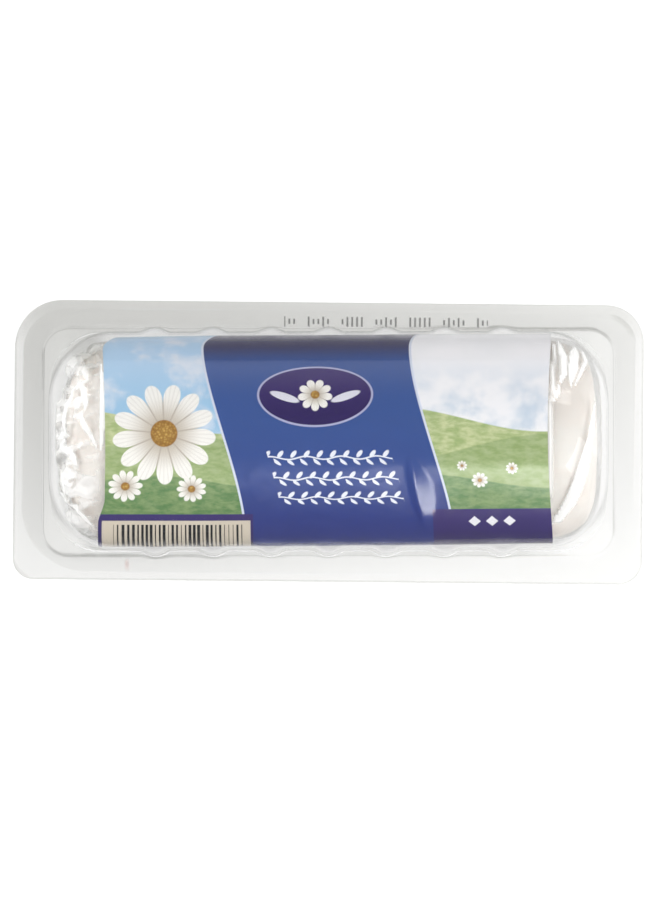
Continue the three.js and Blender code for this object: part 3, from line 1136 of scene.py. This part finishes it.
def print_band(sheet):
    """The blue band with an oval medallion and rows of pale sprigs."""
    x, y = sheet.x, sheet.y
    u = x - (y * BAND_BOW).sin() * BAND_LEAN
    band = u.size() - BAND_HALF
    sheet.ink(inside(band - BAND_EDGE), srgb(214, 222, 238))
    # The blue darkens towards the band's lower and upper edges: painted shade where the label turns away from
    # the light.
    blue = sheet.shade(y.map(-24, 8), srgb(52, 62, 130), srgb(56, 86, 152))
    sheet.ink(inside(band), sheet.shade(y.map(15, 23), blue, srgb(52, 50, 92)))
    px, py = x - MEDALLION[0], y - MEDALLION[1]
    sheet.ink(inside(oval(px, py, *(half + MEDALLION_RING for half in MEDALLION_HALF))), srgb(178, 180, 212))
    purple = sheet.shade(py.map(-6, 6), srgb(44, 28, 92), srgb(58, 40, 108))
    sheet.ink(inside(oval(px, py, *MEDALLION_HALF)), purple)
    row = (y - SPRIGS[1]).repeat(SPRIG_ROW)
    step = u.repeat(SPRIG_STEP)
    sprig = (row - (u * STEM_PACE).sin() * STEM_WAVE).size() - STEM_HALF
    for along, above, turn in LEAVES:
        sprig = sprig.low(oval(*turned(step - along, row - above, turn), *LEAF_HALF))
    limits = bar(u - SPRIGS[0], y - SPRIGS[1], *SPRIGS_HALF)
    sheet.ink(inside(sprig.high(limits)), srgb(236, 240, 248))
    for side in (-1, 1):
        wing = oval(*turned(px - side * WING[0], py - WING[1], side * WING_TURN), *WING_HALF)
        sheet.ink(inside(wing), srgb(226, 226, 238))


print("a band", 2 * BAND_HALF, "mm wide")

# %% Foot
FOOT_TOP, FOOT_FROM = -15.4, 20.5
FRAME_TOP, FRAME_TO = -16.2, -14.6
BOX = (-29.0, -26.2)
BOX_HALF = (13.9, 8.2)
BARS = (-28.6, -26.6)
BARS_HALF = (12.4, 7.4)
BAR_PITCH = 0.84
BAR_HALVES = (0.07, 0.3)
LOZENGES = (32.0, -18.8)
LOZENGES_HALF = (5.0, 2.0)
LOZENGE_HALF = (1.2, 1.5)
LOZENGE_PITCH = 3.4


def print_foot(sheet):
    """The purple foot, with a cream box of bars that stand for no number."""
    x, y = sheet.x, sheet.y
    purple = sheet.shade(y.map(-30, -14), srgb(50, 40, 98), srgb(68, 58, 116))
    sheet.ink(inside((y - FOOT_TOP).high(-x + FOOT_FROM)), purple)
    sheet.ink(inside((y - FRAME_TOP).high(x - FRAME_TO)), purple)
    sheet.ink(inside(bar(x - BOX[0], y - BOX[1], *BOX_HALF)), srgb(214, 204, 188))
    drawn, across = random_cells(x, BAR_PITCH)
    limits = bar(x - BARS[0], y - BARS[1], *BARS_HALF)
    sheet.ink(inside((across.size() - drawn.map(0, 1, *BAR_HALVES)).high(limits)), srgb(38, 40, 44))
    px, py = x - LOZENGES[0], y - LOZENGES[1]
    marks = lozenge(px.repeat(LOZENGE_PITCH), py, *LOZENGE_HALF).high(bar(px, py, *LOZENGES_HALF))
    sheet.ink(inside(marks), srgb(240, 240, 246))


print("a box of bars", 2 * BOX_HALF[0], "mm wide")


# %% Label material
def label_material():
    material, tree = new_material("label_print")
    sheet = Print(tree)
    print_scenery(sheet)
    for daisy in DAISIES:
        print_daisy(sheet, *daisy)
    print_band(sheet)
    print_daisy(sheet, *MEDALLION_DAISY)
    print_foot(sheet)
    sheet.ink(attribute(tree, "back"), srgb(244, 244, 242))
    rough = object_noise(tree, 700, 2.0).map(0.3, 0.7, 0.17, 0.24)
    fibre = object_noise(tree, 900, 3.0)
    shader = add(tree, "BsdfPrincipled", Base_Color=sheet.colour, Roughness=rough, IOR=1.38,
                 Normal=bump(tree, fibre, 0.01 * MM, 0.4))
    surface(tree, shader)
    return material


# %% The label's bend
LABEL_PAPER = 0.14 * MM
LABEL_CLEARANCE = 0.65 * MM
LABEL_TUCK = math.radians(35)
LABEL_EDGES = (-44.4 * MM, 44.1 * MM)
LABEL_BOW = (1.0 * MM, 1.5 * MM)
CORNER_FLARE = 1.2 * MM
FLARE_REACH = 7 * MM
CORNER_TURN = 2.6 * MM
PRINT_LENGTH = 87.2
ARC_STEPS = 2000
# Each buckle: its centre and half sizes on the flat paper, its turn in degrees and its height.
BUCKLES = [((16.8, 15.5), (1.3, 4.5), 12, 0.3), ((-6.0, 4.0), (12.0, 1.1), 4, 0.12),
           ((-37.0, -14.0), (6.0, 1.6), -8, 0.2)]
CREASE = [(16.4, -3.4), (16.8, -9.0), (17.6, -14.0), (19.4, -22.0)]
CREASE_REACH = [0.6, 3.8, 3.6, 0.4]
CREASE_SLOPE = 0.12
CREASE_EDGE = 0.9
PAPER_WAVE = 0.10
PAPER_WAVE_LENGTHS = (14, 9)


def crease_lift(x, y):
    """A crease in the paper, in millimetres: short and steep on its left, long and flat on its right."""
    for start, end, reach, next_reach in zip(CREASE, CREASE[1:], CREASE_REACH, CREASE_REACH[1:]):
        if end[1] <= y <= start[1]:
            share = (start[1] - y) / (start[1] - end[1])
            reach = lerp(reach, next_reach, share)
            off = x - lerp(start[0], end[0], share)
            return CREASE_SLOPE * reach * max(0.0, 1 - (off / reach if off > 0 else -off / CREASE_EDGE))
    return 0.0


def label_arc():
    """Distances along the label's section from its +Y edge, with the angle at each."""
    angles = [lerp(-LABEL_TUCK, math.pi + LABEL_TUCK, step / ARC_STEPS) for step in range(ARC_STEPS + 1)]
    places = [Vector(log_point(angle, LABEL_CLEARANCE)) for angle in angles]
    lengths = [0.0]
    for before, after in zip(places, places[1:]):
        lengths.append(lengths[-1] + (after - before).length)
    return angles, lengths


def label_lift(x, y):
    """How far the paper stands off its even arch: a few buckles and a soft wave; x and y in millimetres."""
    place = Vector((x / PAPER_WAVE_LENGTHS[0], y / PAPER_WAVE_LENGTHS[1], 3.0))
    lift = PAPER_WAVE * noise.noise(place) + crease_lift(x, y)
    for centre, size, turn, height in BUCKLES:
        angle = math.radians(turn)
        dx, dy = x - centre[0], y - centre[1]
        along = (dx * math.cos(angle) + dy * math.sin(angle)) / size[0]
        across = (dy * math.cos(angle) - dx * math.sin(angle)) / size[1]
        lift += height * max(0.0, 1 - along * along - across * across) ** 1.5
    return lift * MM


angles, lengths = label_arc()
girth = lengths[-1]
print("the label reaches", round(girth / MM, 1), "mm round the log")

# %% Build the label
LABEL_COLUMNS, LABEL_ROWS = 180, 190
TURNED_CORNER = (math.radians(30), math.radians(2))
FLARED_CORNER = (math.radians(124), math.radians(142))


def build_label():
    bm = bmesh.new()
    bmesh.ops.create_grid(bm, x_segments=LABEL_COLUMNS, y_segments=LABEL_ROWS, size=0.5)
    flat = bm.loops.layers.uv.new("print")
    for face in bm.faces:
        for loop in face.loops:
            loop[flat].uv = (loop.vert.co.x * PRINT_LENGTH, loop.vert.co.y * girth / MM)
    cursor = 0
    for vert in sorted(bm.verts, key=lambda v: -v.co.y):
        across = (0.5 - vert.co.y) * girth
        while cursor < len(lengths) - 2 and lengths[cursor + 1] < across:
            cursor += 1
        share = (across - lengths[cursor]) / (lengths[cursor + 1] - lengths[cursor])
        angle = lerp(angles[cursor], angles[cursor + 1], min(1.0, max(0.0, share)))
        lift = label_lift(vert.co.x * PRINT_LENGTH, vert.co.y * girth / MM)
        y, z = log_point(angle, LABEL_CLEARANCE + lift)
        crown = max(0.0, math.sin(angle)) ** 2
        turn = CORNER_TURN * smoothstep(*TURNED_CORNER, angle)
        left = LABEL_EDGES[0] + LABEL_BOW[0] * crown + turn
        right = LABEL_EDGES[1] - LABEL_BOW[1] * crown
        flare = CORNER_FLARE * smoothstep(*FLARED_CORNER, angle)
        x = lerp(left, right, vert.co.x + 0.5)
        vert.co = (x - flare * smoothstep(left + FLARE_REACH, left, x), y * taper(x), z)
    bmesh.ops.rotate(bm, verts=bm.verts, cent=(0, 0, 0), matrix=LOG_YAW)
    face_up(bm)
    back = bm.verts.layers.float.new("back")
    grown = bmesh.ops.solidify(bm, geom=bm.faces[:], thickness=LABEL_PAPER)["geom"]
    inner = verts_in(grown)
    for vert in inner:
        vert[back] = 1.0
    print("label:", len(inner), "vertices on the plain back,", len(bm.verts), "in all")
    return make_piece(bm, "paper_label", "label", label_material())


label = build_label()

# %% [markdown]
# ## The floor
# The pack lies on a pale table that glows a little, as a light table does, so the clear rim reads against
# white. A clear wall also mirrors the table beside it, and an endless white table would turn every wall
# white. A photographer lays dark cards round the pack; here the table is darker only for mirrored rays,
# in soft bands along the pack's sides and ends, because real cards would be seen.

# %% Floor
FLOOR_HALF = 3.0
FLOOR_GAP = 0.1 * MM
TABLE_GLOW = (0.66, 0.86)
GLOW_REACH = 90 * MM
# Each dark band: where it starts, where it is full, and its share.
NEAR_BANDS = ((-21.5 * MM, -28 * MM, 0.2), (-28 * MM, -34 * MM, 0.8))
FAR_BANDS = ((21.5 * MM, 27 * MM, 0.4), (24 * MM, 50 * MM, 0.45))
END_BANDS = ((-54 * MM, -58 * MM, 0.32), (54 * MM, 58 * MM, 0.22))


def dark_bands(field, bands):
    first, second = (field.map(start, full) * share for start, full, share in bands)
    return first + second


def table_material():
    material, tree = new_material("pale_table")
    x, y = place_on(tree)
    dark = (dark_bands(y, NEAR_BANDS) + dark_bands(y, FAR_BANDS)).high(dark_bands(x, END_BANDS))
    path = tree.nodes.new("ShaderNodeLightPath")
    mirrored = Field(tree, path.outputs["Is Glossy Ray"]) * dark
    # The glow grows towards the lower right: painted light on the key's side.
    glow = (x - y).map(-GLOW_REACH, GLOW_REACH, *TABLE_GLOW)
    table = add(tree, "BsdfPrincipled", Base_Color=(0.42, 0.42, 0.42, 1), Roughness=0.8,
                Specular_IOR_Level=0.1, Emission_Color=(1, 1, 1, 1), Emission_Strength=glow)
    dim = add(tree, "BsdfDiffuse", Color=(0.1, 0.1, 0.1, 1))
    surface(tree, mix_shader(tree, mirrored, table, dim))
    return material


def build_floor():
    bm = bmesh.new()
    bmesh.ops.create_grid(bm, x_segments=1, y_segments=1, size=FLOOR_HALF)
    bmesh.ops.translate(bm, verts=bm.verts, vec=(0, 0, film_low.z - FLOOR_GAP))
    mesh = bpy.data.meshes.new("floor")
    bm.to_mesh(mesh)
    bm.free()
    floor = bpy.data.objects.new("floor", mesh)
    bpy.context.scene.collection.objects.link(floor)
    mesh.materials.append(table_material())
    print("floor", round(-floor.data.vertices[0].co.z / MM, 2), "mm under the pack")


build_floor()

# %% [markdown]
# ## Light
# A soft box at the lower right is the key. Four large fills even the light out. In a studio, screens keep
# such fills out of the plastic's mirror images; here they are hidden from mirrored and see-through rays.
# Two boxes reach one piece only: a strip that draws the sheen across the label, and a box behind the pack
# that picks out the wrap's folds. More boxes for everything would have been simpler, but they would have
# filled the clear walls with highlights.

# %% Light
FILLS = (
    ("overhead_fill", (0.0, 0.35, 1.65), (2.0, 2.0), 15.5),
    ("left_fill", (-1.2, 0.0, 0.55), (1.0, 0.8), 13),
    ("right_fill", (1.2, -0.3, 0.55), (1.0, 0.8), 7),
    ("front_fill", (0.55, -1.1, 0.6), (1.0, 0.8), 6),
)


def soft_box(name, place, size, power):
    """A rectangular light that looks at the pack."""
    light = bpy.data.lights.new(name, "AREA")
    light.shape = "RECTANGLE"
    light.size, light.size_y = size
    light.energy = power
    box = bpy.data.objects.new(name, light)
    box.location = place
    box.rotation_euler = (-Vector(place)).to_track_quat("-Z", "Y").to_euler()
    bpy.context.scene.collection.objects.link(box)
    print(name, power, "W")
    return box


def shines_on(light, piece):
    """Lets a light reach one piece only."""
    lit = bpy.data.collections.new(light.name + "_shines_on")
    lit.objects.link(piece)
    light.light_linking.receiver_collection = lit


soft_box("key_box", (0.85, -0.45, 0.7), (0.9, 0.9), 4)
for name, place, size, power in FILLS:
    fill = soft_box(name, place, size, power)
    fill.visible_glossy = False
    fill.visible_transmission = False
label_strip = soft_box("label_strip", (0.2, -0.75, 0.45), (0.14, 1.0), 11)
label_strip.visible_diffuse = False
shines_on(label_strip, label)
shines_on(soft_box("wrap_box", (0.1, 0.9, 0.75), (0.9, 0.4), 6), wrap)

# %% Room
FRONT_WALL = (0.12, 0.12, 0.12, 1)
BACK_WALL = (0.6, 0.6, 0.6, 1)
CEILING = (0.2, 0.2, 0.2, 1)


def build_world():
    """A room that is pale behind the pack and dim in front and overhead, which is what plastic mirrors."""
    world = bpy.data.worlds.new("studio")
    bpy.context.scene.world = world
    world.use_nodes = True
    tree = world.node_tree
    tree.nodes.clear()
    direction = tree.nodes.new("ShaderNodeTexCoord")
    split = add(tree, "SeparateXYZ", Vector=direction.outputs["Generated"])
    walls = blend_colour(tree, Field(tree, split.outputs[1]).map(-0.7, 0.8), FRONT_WALL, BACK_WALL)
    colour = blend_colour(tree, Field(tree, split.outputs[2]).map(0.1, 0.9), walls, CEILING)
    background = add(tree, "Background", Color=colour, Strength=1.0)
    output = tree.nodes.new("ShaderNodeOutputWorld")
    tree.links.new(background.outputs[0], output.inputs["Surface"])
    bpy.context.scene.view_settings.view_transform = "Standard"
    print("room:", world.name)


build_world()

# %% [markdown]
# ## The camera
# The photo looks down on the pack from far away, so its walls hardly show. An orthographic camera would
# show them even less; a long lens from about a metre keeps the little perspective that there is. Its focal
# length follows from the photo's pixels per millimetre, and a small tilt and roll set the pack as it lies
# in the photo.

# %% Camera
PHOTO_SCALE = 4.99 / MM
PHOTO_CENTRE = (330, 450)
PACK_CENTRE_IN_PHOTO = (327, 442.3)
PHOTO_LONG_SIDE = 900
SENSOR = 36.0
CAMERA_DISTANCE = 1.1
CAMERA_ROLL = math.radians(0.55)
CAMERA_TILT = math.radians(1.6)

camera_data = bpy.data.cameras.new("camera")
camera_data.sensor_width = SENSOR
camera_data.lens = PHOTO_SCALE * CAMERA_DISTANCE * SENSOR / PHOTO_LONG_SIDE
camera = bpy.data.objects.new("camera", camera_data)
camera.location = ((PHOTO_CENTRE[0] - PACK_CENTRE_IN_PHOTO[0]) / PHOTO_SCALE,
                   (PACK_CENTRE_IN_PHOTO[1] - PHOTO_CENTRE[1]) / PHOTO_SCALE
                   - CAMERA_DISTANCE * math.sin(CAMERA_TILT),
                   CAMERA_DISTANCE * math.cos(CAMERA_TILT))
camera.rotation_euler = (CAMERA_TILT, 0, CAMERA_ROLL)
bpy.context.scene.collection.objects.link(camera)
bpy.context.scene.camera = camera
print("lens", round(camera_data.lens, 1), "mm")
